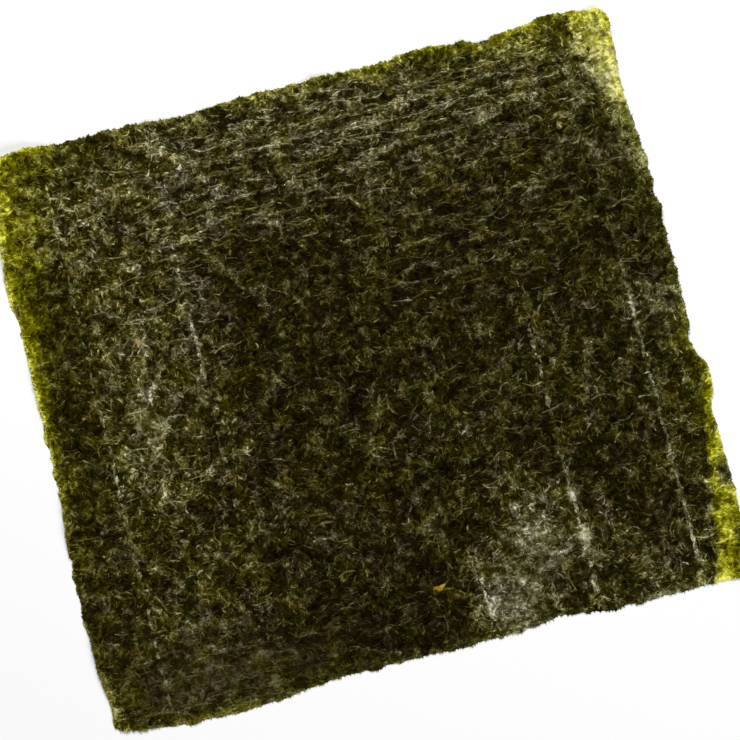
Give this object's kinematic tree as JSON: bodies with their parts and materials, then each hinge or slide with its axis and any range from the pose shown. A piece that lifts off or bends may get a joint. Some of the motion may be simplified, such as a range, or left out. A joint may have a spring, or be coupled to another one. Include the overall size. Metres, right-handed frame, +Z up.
{
  "type": "nori sheet",
  "caption": "Full-size sheet of dried nori: a thin, wavy, felted leaf with ragged edges, curled corners and pressed mat marks.",
  "frame": {"origin": "on the surface the sheet lies on, under the middle of its bounding box", "axes": "+Z up through the sheet, which lies flat; +X along its long side and +Y along its short side, towards the edge that the reed marks lie nearest to"},
  "size_m": [0.212, 0.1926, 0.0043],
  "materials": {
    "nori": "dried laver felt, dark olive brown, satin gloss on its wrinkles, yellow-green where it thins out at the edges"
  },
  "bodies": {
    "root": {"nori_sheet": "nori"}
  },
  "joints": []
}
